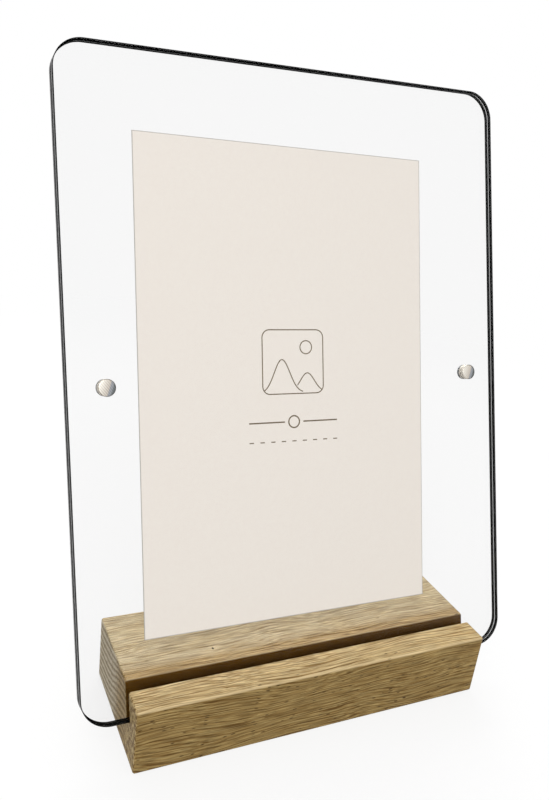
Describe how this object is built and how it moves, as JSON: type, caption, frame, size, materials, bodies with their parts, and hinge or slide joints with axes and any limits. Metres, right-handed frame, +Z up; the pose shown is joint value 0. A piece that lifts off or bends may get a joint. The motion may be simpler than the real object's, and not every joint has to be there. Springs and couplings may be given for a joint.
{
  "type": "acrylic block frame",
  "caption": "Free-standing photo frame: two clear plates held together by disc magnets lean back in a slot along an oak block, with a card between them.",
  "frame": {"origin": "middle of the oak block's underside", "axes": "+X along the block to the viewer's right, +Y from the front to the back, +Z up"},
  "size_m": [0.152, 0.0787, 0.1991],
  "materials": {
    "oak": "planed solid oak, matt oil",
    "clear_acrylic": "clear cast acrylic, polished edges",
    "magnet_nickel": "nickel-plated, finely brushed",
    "card_stock": "matt cream card"
  },
  "bodies": {
    "block": {"oak_base": "oak"},
    "rear": {"rear_plate": "clear_acrylic", "magnet_rear_left": "magnet_nickel", "magnet_rear_right": "magnet_nickel"},
    "front": {"front_plate": "clear_acrylic", "magnet_front_left": "magnet_nickel", "magnet_front_right": "magnet_nickel"},
    "card": {"photo_card": "card_stock"}
  },
  "joints": [
    {"name": "plates_lift", "type": "slide", "parent": "block", "child": "rear", "axis": [0, 0.342, 0.9397], "range_m": [0, 0.04]},
    {"name": "front_plate_lift", "type": "slide", "parent": "rear", "child": "front", "axis": [0, 0.342, 0.9397], "range_m": [0, 0.205]},
    {"name": "card_slide", "type": "slide", "parent": "rear", "child": "card", "axis": [0, 0.342, 0.9397], "range_m": [0, 0.18]}
  ]
}
